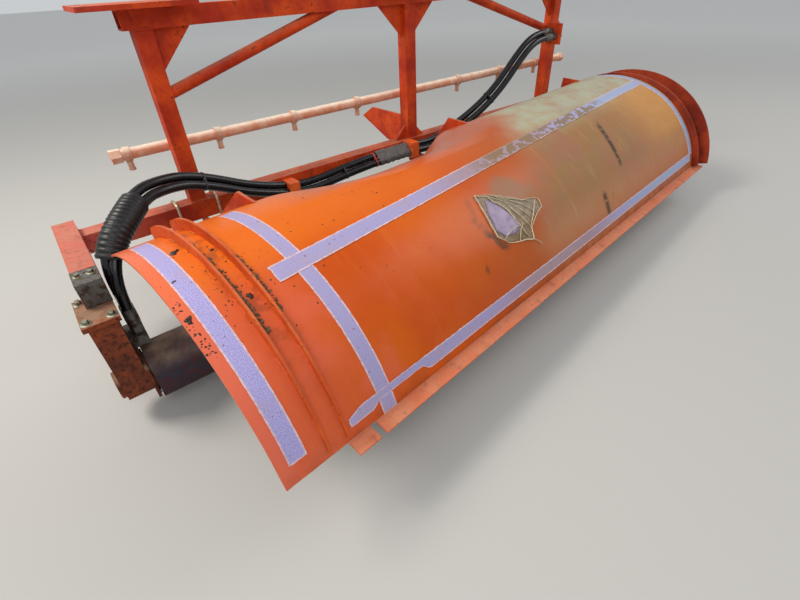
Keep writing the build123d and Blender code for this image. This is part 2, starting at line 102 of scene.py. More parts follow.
class Material:
    """Short calls for a node material. A number, colour or socket may be given to any input."""

    def __init__(self, name, roughness=0.5, metallic=0.0, specular=0.5):
        self.material = bpy.data.materials.new(name)
        self.material.use_nodes = True
        self.tree = self.material.node_tree
        self.tree.nodes.clear()
        self.shader = self.node("BsdfPrincipled")
        self.node("OutputMaterial", {0: self.shader.outputs[0]})
        self.shader.inputs["Roughness"].default_value = roughness
        self.shader.inputs["Metallic"].default_value = metallic
        self.shader.inputs["Specular IOR Level"].default_value = specular
        self.place = self.node("TexCoord").outputs["Object"]

    def put(self, socket, value):
        if isinstance(value, bpy.types.NodeSocket):
            self.tree.links.new(value, socket)
        else:
            socket.default_value = value

    def node(self, kind, inputs=(), **settings):
        made = self.tree.nodes.new("ShaderNode" + kind)
        for key, value in settings.items():
            setattr(made, key, value)
        for key, value in dict(inputs).items():
            self.put(made.inputs[key], value)
        return made

    def math(self, operation, *values):
        return self.node("Math", enumerate(values), operation=operation).outputs[0]

    def plus(self, first, second):
        return self.math("ADD", first, second)

    def minus(self, first, second):
        return self.math("SUBTRACT", first, second)

    def times(self, first, *others):
        for other in others:
            first = self.math("MULTIPLY", first, other)
        return first

    def both_ways(self, value, size):
        """Noise between 0 and 1 as a shift of that size, to either side."""
        return self.times(self.minus(value, 0.5), size)

    def vector(self, operation, first, second, out="Vector"):
        inputs = {0: first, 1: tuple(second)}
        return self.node("VectorMath", inputs, operation=operation).outputs[out]

    def dot(self, first, second):
        return self.vector("DOT_PRODUCT", first, second, "Value")

    def stretched(self, x, y, z):
        """Place, scaled along each axis."""
        return self.vector("MULTIPLY", self.place, (x, y, z))

    def noise(self, scale, detail=4.0, rough=0.55, place=None):
        inputs = {"Vector": place or self.place, "Scale": scale, "Detail": detail, "Roughness": rough}
        return self.node("TexNoise", inputs).outputs["Fac"]

    def cells(self, scale, feature="F1", randomness=1.0):
        inputs = {"Vector": self.place, "Scale": scale, "Randomness": randomness}
        return self.node("TexVoronoi", inputs, feature=feature).outputs["Distance"]

    def step(self, value, low, high, start=0.0, end=1.0):
        """Smooth step from start to end while value goes from low to high."""
        inputs = {0: value, 1: low, 2: high, 3: start, 4: end}
        return self.node("MapRange", inputs, interpolation_type="SMOOTHSTEP").outputs[0]

    def band(self, value, low, high, soft):
        """1 between low and high, 0 outside."""
        rise = self.step(value, low - soft, low + soft)
        return self.times(rise, self.step(value, high - soft, high + soft, 1.0, 0.0))

    def facing_up(self):
        """1 where the surface faces up, for dust that settles."""
        normal = self.node("NewGeometry").outputs["Normal"]
        return self.step(self.node("SeparateXYZ", {"Vector": normal}).outputs["Z"], 0.3, 0.95)

    def mix(self, share, first, second):
        """Two colours mixed, each a socket or a display colour."""
        made = self.node("Mix", {0: share}, data_type="RGBA")
        for key, value in ((6, first), (7, second)):
            self.put(made.inputs[key], linear(value) if isinstance(value, tuple) else value)
        return made.outputs[2]

    def colour(self, value):
        """Set the colour, which others may cover."""
        self.laid = value
        self.put(self.shader.inputs["Base Color"], value)

    def cover(self, share, shade):
        """Lay a shade over the colour so far."""
        self.colour(self.mix(share, self.laid, shade))

    def rough(self, value):
        self.put(self.shader.inputs["Roughness"], value)

    def bump(self, height, distance, strength=1.0):
        inputs = {"Height": height, "Distance": distance, "Strength": strength}
        if self.shader.inputs["Normal"].is_linked:
            inputs["Normal"] = self.shader.inputs["Normal"].links[0].from_socket
        self.put(self.shader.inputs["Normal"], self.node("Bump", inputs).outputs[0])


class HoodMaterial(Material):
    """Material that knows its place on the hood."""

    def __init__(self, name, roughness, specular=0.5):
        super().__init__(name, roughness, 0.0, specular)
        from_start = self.vector("SUBTRACT", self.place, HOOD_START)
        self.along, self.front, self.up = (self.dot(from_start, way) for way in (ALONG, -BACK, UP))
        # Angle above horizontal in degrees. Patterns lie on the unrolled sheet, unless they lie in space.
        self.angle = self.math("DEGREES", self.math("ARCTAN2", self.up, self.front))
        round_arc = self.times(self.angle, HOOD_RADIUS * math.pi / 180)
        self.in_space = self.place
        self.place = self.node("CombineXYZ", {0: self.along, 1: round_arc}).outputs[0]


def paint_and_painted_light(m, blotch):
    """Salmon towards the near end and more pinkish at its edge, deep orange over the middle, faint lighter
    streaks, and painted light: a pinkish painted reflection of the sky low on the near half, and a painted
    sunlit top.
    """
    m.colour(m.mix(m.step(blotch, 0.35, 0.66), (196, 76, 0), (208, 92, 0)))
    m.cover(m.step(m.along, 0.08, 0.36, 0.85, 0.0), (216, 96, 58))
    # Painted reflection of the sky: pinkish blotches, strongest low on the near half
    patches = m.step(m.noise(7.0, 3.0), 0.46, 0.66)
    painted_sky_reflection = m.times(patches, m.step(m.along, 0.1, 0.6, 0.8, 0.1), m.step(m.angle, 45, 75, 1.0, 0.2))
    m.cover(painted_sky_reflection, (218, 100, 70))
    # Painted sunlight: a brighter orange over the top of the near half
    m.cover(m.times(m.band(m.angle, 70, 118, 8), m.step(m.along, 0.1, 1.3, 0.7, 0.0)), (228, 112, 0))
    m.cover(m.step(m.along, 0.015, 0.05, 0.6, 0.0), (226, 112, 88))
    streaks = m.noise(5.0, 4.0, 0.6, m.stretched(5.0, 0.55, 1.0))
    m.cover(m.step(streaks, 0.56, 0.72, 0.0, 0.2), (222, 112, 44))


def dust_film(m, blotch, grit):
    """Dust over the far part, with a brown tint before its slanted and ragged border."""
    past = m.minus(m.angle, 30)
    slant = m.math("MAXIMUM", m.times(past, 0.0052), m.times(past, -0.006))
    border = m.plus(m.minus(m.along, m.plus(slant, 0.98)), m.both_ways(blotch, 0.3))
    m.cover(m.step(border, -0.55, 0.0, 0.0, 0.7), (166, 80, 20))
    dust = m.times(m.step(border, -0.08, 0.16), m.step(grit, 0.28, 0.66, 0.74, 1.0))
    dust = m.times(dust, m.step(m.angle, 14, 36, 0.35, 0.97))
    golden = m.times(m.step(m.along, 1.75, 2.2), m.step(m.angle, 28, 45), m.step(m.angle, 72, 82, 1.0, 0.0))
    drips = m.noise(9.0, 5.0, 0.65, m.stretched(3.2, 0.7, 1.0))
    film = m.mix(m.step(m.angle, 62, 80), (150, 116, 76), (168, 160, 122))
    for share, shade in (
        (m.step(m.noise(5), 0.45, 0.62, 0.0, 0.6), (152, 108, 88)),
        (m.times(golden, 0.8), (204, 150, 84)),
        (m.step(m.angle, 26, 42, 0.65, 0.0), (192, 140, 104)),
        (m.times(m.step(m.angle, 68, 82), m.step(grit, 0.3, 0.6, 0.4, 0.75)), (172, 184, 166)),
        (m.step(drips, 0.54, 0.76, 0.0, 0.45), (192, 160, 108)),
    ):
        film = m.mix(share, film, shade)
    m.cover(dust, film)
    return dust


def crushed_top_and_haze(m, grit):
    """Pale dust in the crushed top, darkened there as painted shade, and grey haze of old film between the
    upper tape and the torn patch.
    """
    # Painted shade: the dust in the crushed top is given a darker colour, as if in shade
    crushed = m.times(m.step(m.angle, 87, 93), m.band(m.along, 0.45, 1.25, 0.12))
    m.cover(m.times(crushed, m.step(grit, 0.3, 0.62, 0.35, 0.8)), (158, 96, 76))
    haze_x = m.math("DIVIDE", m.minus(m.along, 1.0), 0.095)
    haze_a = m.math("DIVIDE", m.minus(m.plus(m.angle, m.times(m.along, 40)), 93.5), 7)
    reach = m.plus(m.times(haze_x, haze_x), m.times(haze_a, haze_a))
    m.cover(m.step(m.plus(reach, m.both_ways(grit, 4.0)), 0.2, 1.8, 0.6, 0.0), (124, 104, 72))


def dark_foot_rib_grime_and_specks(m):
    """Darker brown blotches along the foot, and grime beside the ribs. Tar specks, thick between the ribs and
    high on the near end.
    """
    foot = m.times(m.step(m.angle, 13, 24, 1.0, 0.0), m.step(m.noise(18), 0.34, 0.62))
    m.cover(m.times(foot, 0.6), (138, 66, 34))
    groove = m.times(m.band(m.along, 0.098, 0.176, 0.012), m.step(m.noise(26, 5.0), 0.46, 0.62))
    m.cover(m.times(groove, m.step(m.angle, 30, 70, 0.05, 0.5)), (120, 62, 34))
    where = m.times(m.step(m.along, 0.20, 0.45, 1.0, 0.10), m.step(m.angle, 40, 68, 0.1, 1.0))
    for fineness, full, patches, low, high, shade in (
        (120, 0.10, 34, 0.50, 0.56, TAR),
        (310, 0.08, 60, 0.52, 0.60, (70, 36, 22)),
    ):
        specks = m.step(m.cells(fineness), full, 0.16, 1.0, 0.0)
        m.cover(m.times(specks, m.step(m.noise(patches, 2.0), low, high), where), shade)


SCUFFS = (
    # along at the low angle, shift per degree above it, low and high angle, half width, strength
    (1.646, 0.0019, 38.7, 62, 0.011, 0.9),
    (1.664, 0.0021, 44, 64, 0.004, 0.6),
    (1.449, -0.0002, 22.5, 33, 0.014, 0.85),
    (0.838, -0.0046, 36.5, 45, 0.014, 0.75),
    (0.808, -0.0030, 43, 52, 0.012, 0.4),
    (0.788, 0.0026, 51, 60, 0.010, 0.25),
    (0.729, 0.0, 33.6, 35.6, 0.006, 0.7),
    (0.722, 0.004, 34.5, 36.5, 0.003, 0.7),
    (1.50, 0.004, 27, 33, 0.004, 0.3),
)


def scuffs(m, fine):
    wobble = m.both_ways(fine, 0.012)
    ragged = m.step(fine, 0.32, 0.52)
    for x, shift, low, high, half, strength in SCUFFS:
        line = m.plus(m.along, m.plus(wobble, m.times(m.minus(m.angle, low), -shift)))
        scuff = m.times(m.band(line, x - half, x + half, half * 0.7), m.band(m.angle, low, high, 1.5), ragged)
        m.cover(m.times(scuff, strength), (58, 48, 34))


def hood_material():
    m = HoodMaterial("hood_paint", 0.34, 0.24)
    blotch = m.noise(3.1)
    fine = m.noise(46, 5.0, 0.65)
    grit = m.noise(11, 6.0, 0.7)
    paint_and_painted_light(m, blotch)
    dust = dust_film(m, blotch, grit)
    crushed_top_and_haze(m, grit)
    dark_foot_rib_grime_and_specks(m)
    scuffs(m, fine)
    # Painted shade: the dark underside, the sheet's inner face painted dark
    normal = m.node("NewGeometry").outputs["Normal"]
    outwards = m.plus(m.times(m.dot(normal, -BACK), m.front), m.times(m.dot(normal, UP), m.up))
    inner = m.step(outwards, -0.05, 0.0, 1.0, 0.0)
    m.cover(inner, m.mix(m.step(fine, 0.4, 0.65), (84, 34, 16), (58, 44, 36)))
    glossy = m.plus(m.times(fine, 0.2), 0.2)
    m.rough(m.plus(glossy, m.times(m.math("MAXIMUM", dust, inner), 0.42)))
    m.bump(m.noise(160), 0.0006, 0.25)
    m.bump(m.noise(5.5, 2.0), 0.006, 0.30)
    return m.material


def tape_material():
    m = HoodMaterial("reflective_tape", 0.45, 0.3)
    grain = m.noise(420, 4.0, 0.75)
    cells = m.cells(230, "DISTANCE_TO_EDGE", 0.25)
    m.colour(m.mix(m.step(grain, 0.38, 0.62), (146, 140, 202), (194, 188, 236)))
    m.cover(m.step(cells, 0.03, 0.14, 0.4, 0.0), (124, 108, 152))
    # Greyer on the second strip, dull and brown in the middle, pale blue at the far end
    m.cover(m.step(m.along, 0.1, 0.26, 0.0, 0.55), (160, 152, 186))
    dull = m.times(m.band(m.along, 0.78, 1.4, 0.15), m.step(grain, 0.3, 0.6, 0.5, 0.85))
    m.cover(dull, (164, 134, 132))
    m.cover(m.step(m.along, 1.3, 2.0, 0.0, 0.8), (156, 174, 206))
    m.cover(m.step(m.noise(9), 0.50, 0.7, 0.0, 0.35), (176, 150, 150))
    # Worn through in patches
    worn = m.times(m.band(m.along, 0.98, 1.85, 0.1), m.step(m.angle, 45, 50))
    m.cover(m.times(worn, m.step(m.noise(30), 0.44, 0.5), 0.9), (134, 108, 74))
    m.cover(m.step(m.noise(70, 5.0, 0.7), 0.62, 0.68, 0.0, 0.8), (120, 84, 72))
    m.cover(m.step(m.cells(95), 0.06, 0.10, 0.8, 0.0), (84, 66, 62))
    m.rough(m.step(grain, 0.3, 0.7, 0.38, 0.62))
    m.bump(cells, 0.0004, 0.35)
    m.bump(m.noise(60, 3.0, 0.55, m.in_space), 0.0008, 0.3)
    return m.material


def tape_edge_material():
    """Pale sealed border, dull where the upper strip has worn."""
    m = HoodMaterial("tape_edge", 0.45)
    m.colour(m.mix(m.step(m.noise(120, 6.0, 0.7, m.in_space), 0.38, 0.64), (222, 196, 206), (196, 160, 162)))
    worn = m.times(m.band(m.along, 0.95, 1.8, 0.12), m.step(m.angle, 45, 50))
    m.cover(m.times(worn, m.step(m.noise(24), 0.3, 0.5), 0.85), (150, 122, 92))
    return m.material


def painted_frame(name, low, high, dusty, faded=None):
    """Weathered paint in two shades. The frame's ends are bleached to the faded shade, if one is given."""
    m = Material(name, 0.6, 0.0, 0.3)
    patch = m.noise(9, 5.0, 0.6)
    fine = m.noise(90, 5.0, 0.7)
    m.colour(m.mix(m.step(patch, 0.32, 0.68), low, high))
    if faded:
        across = m.node("SeparateXYZ", {"Vector": m.place}).outputs["X"]
        ends = m.step(m.math("ABSOLUTE", across), 1.0, 1.3, 0.0, 0.9)
        m.cover(m.times(ends, m.step(patch, 0.2, 0.7, 0.75, 1.0)), faded)
    chips = m.step(m.plus(fine, m.times(patch, 0.4)), 0.82, 0.88)
    m.cover(chips, RUST)
    m.cover(m.times(m.facing_up(), m.step(m.noise(16, 6.0, 0.7), 0.28, 0.7, 0.35, 1.0), dusty), DUST)
    grime = m.step(m.noise(30, 6.0, 0.7, m.stretched(1, 1, 0.3)), 0.52, 0.72, 0.0, 0.45)
    m.cover(grime, (74, 36, 26))
    m.rough(m.step(fine, 0.3, 0.7, 0.48, 0.82))
    m.bump(fine, 0.0008, 0.4)
    m.bump(chips, 0.0004, 0.6)
    return m.material


def rusty(name, shades, metallic=0.15, grain=70):
    """Rusted steel in three shades, with scale and pits."""
    m = Material(name, 0.8, metallic)
    fine = m.noise(grain, 6.0, 0.7)
    m.colour(m.mix(m.step(m.noise(8, 5.0, 0.65), 0.36, 0.62), shades[0], shades[1]))
    m.cover(m.step(fine, 0.50, 0.66), shades[2])
    m.cover(m.times(m.facing_up(), m.step(m.noise(20, 5.0), 0.3, 0.7, 0.1, 0.55)), DUST)
    m.rough(m.step(fine, 0.3, 0.7, 0.6, 0.92))
    m.bump(fine, 0.0015, 0.6)
    m.bump(m.cells(grain * 2), 0.00075, 0.35)
    return m.material


def metal(name, base, stain, roughness):
    m = Material(name, roughness, 0.85)
    fine = m.noise(60, 5.0, 0.65)
    m.colour(m.mix(m.step(fine, 0.46, 0.66), base, stain))
    m.rough(m.step(fine, 0.3, 0.7, roughness, roughness + 0.3))
    m.bump(fine, 0.0005, 0.4)
    return m.material


def rubber(name, base, dust, roughness):
    m = Material(name, roughness, 0.0, 0.45)
    fine = m.noise(150)
    settled = m.times(m.facing_up(), m.step(m.noise(22, 6.0, 0.7), 0.45, 0.75))
    m.colour(m.mix(m.times(settled, 0.35), base, dust))
    m.cover(m.step(m.noise(240, 3.0), 0.62, 0.7, 0.0, 0.5), dust)
    m.rough(m.plus(m.step(fine, 0.3, 0.7, roughness - 0.06, roughness + 0.14), m.times(settled, 0.3)))
    m.bump(fine, 0.0004, 0.35)
    return m.material


def plain_grain(name, base, other, roughness, grain=60, depth=0.0006):
    m = Material(name, roughness)
    fine = m.noise(grain, 6.0, 0.7)
    m.colour(m.mix(m.step(fine, 0.38, 0.64), base, other))
    m.rough(m.step(fine, 0.3, 0.7, roughness - 0.08, roughness + 0.12))
    m.bump(fine, depth, 0.5)
    return m.material


def dusted_paint(name, paint, dust):
    """Paint with pale dust on what faces up."""
    m = Material(name, 0.55)
    fine = m.noise(30, 5.0, 0.65)
    m.colour(m.mix(m.step(fine, 0.4, 0.65, 0.0, 0.35), paint, dust))
    m.cover(m.times(m.facing_up(), m.step(fine, 0.3, 0.6, 0.55, 1.0)), dust)
    m.bump(fine, 0.0005, 0.5)
    return m.material


def film_material():
    m = Material("torn_film", 0.22)
    m.shader.inputs["Alpha"].default_value = 0.42
    fine = m.noise(34, 5.0, 0.6, m.stretched(1, 3, 1))
    m.colour(m.mix(m.step(fine, 0.4, 0.62), (132, 120, 90), (164, 152, 122)))
    m.cover(m.step(m.noise(70, 4.0, 0.55, m.stretched(1, 0.4, 1)), 0.60, 0.68, 0.0, 0.8), (178, 166, 134))
    m.bump(fine, 0.002, 0.5)
    return m.material


HOOD = hood_material()
TAPE = tape_material()
TAPE_EDGE = tape_edge_material()
FRAME = painted_frame("frame_paint", (166, 38, 8), (212, 74, 12), 0.4, (206, 98, 88))
RIB = painted_frame("rib_paint", (196, 72, 14), (218, 96, 32), 0.2)
RIM = painted_frame("rim_paint", (118, 30, 12), (168, 60, 26), 0.25)
LIP = painted_frame("lip_paint", (206, 92, 50), (222, 120, 80), 0.4)
CASTING = rusty("rusty_casting", ((96, 40, 18), (148, 64, 24), (56, 32, 24)))
TUBE = rusty("rusty_tube", ((66, 46, 52), (52, 46, 58), (96, 44, 40)), 0.3, 45)
PIPE = dusted_paint("pipe_steel", (218, 142, 106), (240, 224, 204))
NOZZLE = dusted_paint("nozzle_plastic", (202, 142, 114), (226, 208, 188))
ZINC = metal("zinc_steel", (112, 110, 106), (84, 62, 48), 0.45)
BOLT = metal("bolt_steel", (148, 150, 132), (110, 78, 54), 0.4)
BRIGHT_ZINC = metal("bright_zinc", (232, 220, 192), (168, 140, 108), 0.32)
# The hose's near black is tinted faintly blue, a painted reflection of the sky
HOSE = rubber("hose_rubber", (9, 9, 13), (54, 50, 56), 0.2)
SLEEVE = rubber("sleeve_plastic", (11, 11, 15), (62, 58, 58), 0.38)
GREY_TAPE = plain_grain("wrapping_tape", (78, 72, 70), (104, 98, 94), 0.5, 90)
CLAMP = plain_grain("clamp_plastic", (232, 100, 30), (212, 84, 26), 0.5)
TIE = plain_grain("tie_plastic", (30, 28, 30), (64, 58, 56), 0.55)
TIE_RED = plain_grain("red_tie", (196, 74, 70), (150, 46, 44), 0.4)
MUD = plain_grain("dried_mud", (78, 54, 38), (140, 110, 80), 0.92, 140, 0.003)
TAR_SPOT = plain_grain("tar", (26, 18, 14), (62, 38, 24), 0.5, 120, 0.002)
FILM = film_material()
FILM_EDGE = plain_grain("film_edge", (212, 200, 172), (176, 158, 128), 0.4, 150)
LABEL = plain_grain("label_backing", (146, 124, 158), (124, 106, 136), 0.28, 30)

# Nodes that keep their CAD shape: names, material, softened edge in metres
for names, material, edge in (
    ("rib_outer rib_inner", RIB, 0.0012),
    ("rim_flanges", RIM, 0.0012),
    ("front_lip", LIP, 0.0012),
    ("hood_brackets lower_beam post_left post_middle post_right top_rail", FRAME, 0.004),
    ("mounting_plates brace_left brace_right post_gussets post_back_plate hose_bulkhead", FRAME, 0.0015),
    ("arm_left arm_right", FRAME, 0.005),
    ("arm_caps port_block", ZINC, 0.0015),
    ("hanger_left hanger_right flange_bearing hydraulic_motor", CASTING, 0.003),
    ("core_tube drive_disc end_flange_and_shaft", TUBE, 0.0015),
    ("spray_pipe spray_caps", PIPE, 0.001),
    ("bulkhead_fittings", ZINC, 0.0012),
    ("spray_nozzles", NOZZLE, 0.001),
    ("hose_clamps", CLAMP, 0.003),
    ("sleeve_grommets", SLEEVE, 0.0005),
):
    for name in names.split():
        node = nodes[name]
        node.data.materials.clear()
        node.data.materials.append(material)
        bevel = node.modifiers.new("edge", "BEVEL")
        bevel.width = edge
        bevel.segments = 2
        bevel.limit_method = "ANGLE"
        bevel.angle_limit = math.radians(40)
        bevel.harden_normals = True


# Mesh helpers

def new_object(name, vertices, faces, material):
    """Smooth mesh that rides on the carrier."""
    mesh = bpy.data.meshes.new(name)
    mesh.from_pydata([tuple(v) for v in vertices], [], faces)
    mesh.update()
    for polygon in mesh.polygons:
        polygon.use_smooth = True
    mesh.materials.append(material)
    made = add_object(name, mesh)
    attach(made, "carrier")
    return made


def clean(made, smooth_angle):
    """Merge doubled corners, face the surface outwards, and keep the edges above an angle sharp."""
    work = bmesh.new()
    work.from_mesh(made.data)
    bmesh.ops.remove_doubles(work, verts=work.verts, dist=1e-6)
    bmesh.ops.recalc_face_normals(work, faces=work.faces)
    for edge in work.edges:
        if len(edge.link_faces) == 2:
            edge.smooth = edge.calc_face_angle(0) < math.radians(smooth_angle)
    work.to_mesh(made.data)
    work.free()
    return made


def spread(start, end, step):
    """Even places from start to end, about a step apart."""
    count = max(1, round(abs(end - start) / step))
    return [start + (end - start) * n / count for n in range(count + 1)]


def ease(value, low, high):
    """0 at low, 1 at high, smooth between. low may be the greater one."""
    share = min(max((value - low) / (high - low), 0.0), 1.0)
    return share * share * (3 - 2 * share)


def uneven(*place):
    """Smooth noise, about -1 to 1."""
    return noise.noise(Vector(place))


def circle(centre, side, other, radius, sides, turn=0.0):
    """Points round a centre, in the plane of two directions."""
    angles = [turn + math.tau * k / sides for k in range(sides)]
    return [centre + (side * math.cos(a) + other * math.sin(a)) * radius for a in angles]


class Build:
    """Collects many small closed forms into one mesh."""

    def __init__(self):
        self.vertices = []
        self.faces = []

    def add(self, vertices, faces):
        first = len(self.vertices)
        self.vertices += vertices
        self.faces += [[first + i for i in face] for face in faces]

    def loft(self, rings):
        """Closed form through rings of equally many points."""
        sides = len(rings[0])
        last = (len(rings) - 1) * sides
        faces = [tuple(reversed(range(sides))), tuple(range(last, last + sides))]
        for foot in range(0, last, sides):
            for k in range(sides):
                a, b = foot + k, foot + (k + 1) % sides
                faces.append((a, b, b + sides, a + sides))
        self.add([point for ring in rings for point in ring], faces)

    def lathe(self, at, axis, profile, sides=24, turn=0.0):
        """Turned form. profile is (height along the axis, radius) from foot to top."""
        axis = Vector(axis).normalized()
        side = axis.orthogonal().normalized()
        other = axis.cross(side)
        self.loft([circle(Vector(at) + axis * h, side, other, r, sides, turn) for h, r in profile])

    def bolt(self, at, axis, across, head, washer=True, turn=0.0):
        """Hexagon head with a chamfered top, on a washer."""
        corner = across / math.sqrt(3)
        foot = 0.0
        if washer:
            foot = across * 0.13
            self.lathe(at, axis, [(0, across * 0.98), (foot * 0.7, across * 0.98), (foot, across * 0.92)], 20)
        profile = [(foot, corner), (foot + head * 0.86, corner), (foot + head, corner * 0.84)]
        self.lathe(at, axis, profile, 6, turn)

    def tube(self, points, radii, sides):
        """Tube through points, with a radius for each point."""
        points = [Vector(p) for p in points]
        rings = []
        side = (points[1] - points[0]).orthogonal().normalized()
        for n, (point, radius) in enumerate(zip(points, radii)):
            along = (points[min(n + 1, len(points) - 1)] - points[max(n - 1, 0)]).normalized()
            side = (side - along * side.dot(along)).normalized()
            rings.append(circle(point, side, along.cross(side), radius, sides))
        self.loft(rings)

    def weld(self, corners, radius, seed):
        """Rippled bead from each corner to the next."""
        for start, end in zip(corners, corners[1:]):
            start, end = Vector(start), Vector(end)
            count = max(4, int((end - start).length / (radius * 0.8)))
            radii = []
            for n in range(count + 1):
                ripple = 0.86 + 0.14 * (n % 2) + 0.2 * uneven(n * 0.37 + seed, seed, 0)
                radii.append(radius * ripple * (0.6 if n in (0, count) else 1))
            self.tube([start.lerp(end, n / count) for n in range(count + 1)], radii, 8)

    def blob(self, at, normal, size, height, seed):
        """Low uneven lump on a surface."""
        side = normal.orthogonal().normalized()
        side = (Matrix.Rotation(seed * 1.7, 3, normal) @ side).normalized()
        other = normal.cross(side)
        rings, sides = 3, 9
        points = []
        for ring in range(rings):
            slope = math.pi / 2 * (ring + 1) / rings
            lift = math.cos(slope) * height - height * 0.15
            reach = math.sin(slope) * size
            for k in range(sides):
                a = math.tau * k / sides
                east, north = math.cos(a), math.sin(a)
                wobble = 1 + 0.45 * uneven(east * 1.3 + seed, north * 1.3, ring * 0.6)
                out = side * (east * 1.35) + other * north
                points.append(at + normal * lift * wobble + out * reach * wobble)
        points += [at + normal * height, at - normal * height * 0.3]
        top, foot, rim = rings * sides, rings * sides + 1, (rings - 1) * sides
        faces = []
        for k in range(sides):
            after = (k + 1) % sides
            faces += [(top, k, after), (foot, rim + after, rim + k)]
            faces += [(r + k, r + k + sides, r + after + sides, r + after) for r in range(0, rim, sides)]
        self.add(points, faces)

    def done(self, name, material, slot=None, smooth_angle=35):
        return clean(new_object(name, self.vertices, self.faces, material), smooth_angle)


# Hood: the sheet with its dents, and everything that lies on it

DENTS = (
    # along, angle, half length, half angle, depth
    (0.015, 22, 0.05, 5, 0.004),
    (0.95, 50, 0.16, 9, 0.004),
    (0.42, 34, 0.10, 8, 0.0025),
    (0.60, 76, 0.22, 8, 0.003),
    (1.60, 52, 0.12, 12, 0.005),
    (1.95, 40, 0.20, 10, 0.003),
    (2.25, 75, 0.12, 12, 0.004),
)
# The top is crushed in behind a crease, between the left and middle brackets
CRUSH_START, CRUSH_FULL, CRUSH_FALL, CRUSH_END = 0.41, 0.66, 1.02, 1.275
CRUSH_DEPTH = 0.074


def dent(along, angle):
    depth = 0.0008 + 0.0012 * uneven(along * 3.0, angle * 0.05, 0.4)
    crease = 94 - 12 * ease(along, 0.45, 0.85)
    behind = max(angle - crease, 0.0) / (BACK_ANGLE - crease)
    depth += CRUSH_DEPTH * behind * ease(along, CRUSH_START, CRUSH_FULL) * ease(along, CRUSH_END, CRUSH_FALL)
    for x, a, half_x, half_a, deep in DENTS:
        depth += deep * math.exp(-(((along - x) / half_x) ** 2) - (((angle - a) / half_a) ** 2))
    return max(depth, 0.0)


def hood_normal(angle):
    a = math.radians(angle)
    return (-BACK * math.cos(a) + UP * math.sin(a)).normalized()


def on_hood(along, angle, lift=0.0):
    """Point on the dented sheet's outside, lifted off it."""
    return HOOD_START + ALONG * along + hood_normal(angle) * (HOOD_RADIUS - dent(along, angle) + lift)


def shell(name, rows, thick, material, closed=False):
    """Sheet on the hood through rows of (along, angle, lift). Closed rows run back to their start."""
    cols = len(rows[0])
    count = len(rows) * cols
    points = [on_hood(x, a, lift + rise) for rise in (thick, 0) for row in rows for x, a, lift in row]
    faces = []
    for foot in range(0, count - cols, cols):
        for j in range(cols if closed else cols - 1):
            a, b = foot + j, foot + (j + 1) % cols
            faces.append((a, b, b + cols, a + cols))
            faces.append((count + a + cols, count + b + cols, count + b, count + a))
    rim = list(range(count - cols, count))
    if not closed:
        sides = list(range(2 * cols - 1, count, cols)), list(range(count - 2 * cols, 0, -cols))
        rim = list(range(cols)) + sides[0] + rim[-2::-1] + sides[1]
    for a, b in zip(rim, rim[1:] + rim[:1]):
        faces.append((a, b, count + b, count + a))
    return new_object(name, points, faces, material)


def hood_patch(name, columns, angles, thick, material, lift, edge, border=None):
    """Sheet over the hood. columns are places along it, edge moves a point by (along, angle), and
    border is the material of the outermost faces."""
    rows = []
    for i, x in enumerate(columns):
        moves = [edge(i, j, x, a) for j, a in enumerate(angles)]
        rows.append([(x + dx, a + da, lift) for a, (dx, da) in zip(angles, moves)])
    made = shell(name, rows, thick, material)
    if border:
        made.data.materials.append(border)
        # Faces come in pairs, outer and inner, and the rim's faces follow them
        for n, polygon in enumerate(made.data.polygons):
            i, j = divmod(n // 2, len(angles) - 1)
            outermost = i == 0 or i > len(columns) - 3 or j in (0, len(angles) - 2)
            polygon.material_index = int(outermost)
    return clean(made, 40)


def slanted_front(i, j, x, a):
    """The sheet's front edge slopes down towards the far end."""
    front = FRONT_LEFT + (FRONT_RIGHT - FRONT_LEFT) * x / HOOD_LENGTH
    return 0, (front - FRONT_RIGHT) * (BACK_ANGLE - a) / (BACK_ANGLE - FRONT_RIGHT)


for name, start, end in (("hood_end_section", 0.0, SEAM), ("hood_main_section", SEAM, HOOD_LENGTH)):
    sheet = hood_patch(
        f"{name}_sheet", spread(start, end, 0.02), spread(FRONT_RIGHT, BACK_ANGLE, 1.5),
        HOOD_SHEET, HOOD, -HOOD_SHEET, slanted_front,
    )
    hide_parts(name)

# Reflective tape with a pale sealed border: strips round the arc and strips along the hood
TAPE_THICK = 0.0007
TAPE_SEAL = 0.0036
SEAL_ANGLE = math.degrees(TAPE_SEAL / HOOD_RADIUS)


def sealed(start, end, step, seal):
    return [start] + spread(start + seal, end - seal, step) + [end]


def arc_tape(name, x0, x1, a0, a1, lean):
    """Strip round the arc. lean is its shift along the hood for each degree."""
    columns, angles = sealed(x0, x1, 0.008, TAPE_SEAL), sealed(a0, a1, 1.2, SEAL_ANGLE)

    def ragged(i, j, x, a):
        dx, da = lean * (a - a0), 0.0
        if i in (0, len(columns) - 1):
            dx += 0.0012 * uneven(x0 * 50, j * 0.9, i * 0.1)
        if j in (0, len(angles) - 1):
            da = 0.35 * uneven(i * 0.8, x0 * 50, j * 0.1)
        return dx, da

    hood_patch(name, columns, angles, TAPE_THICK, TAPE, 0.0002, ragged, TAPE_EDGE)


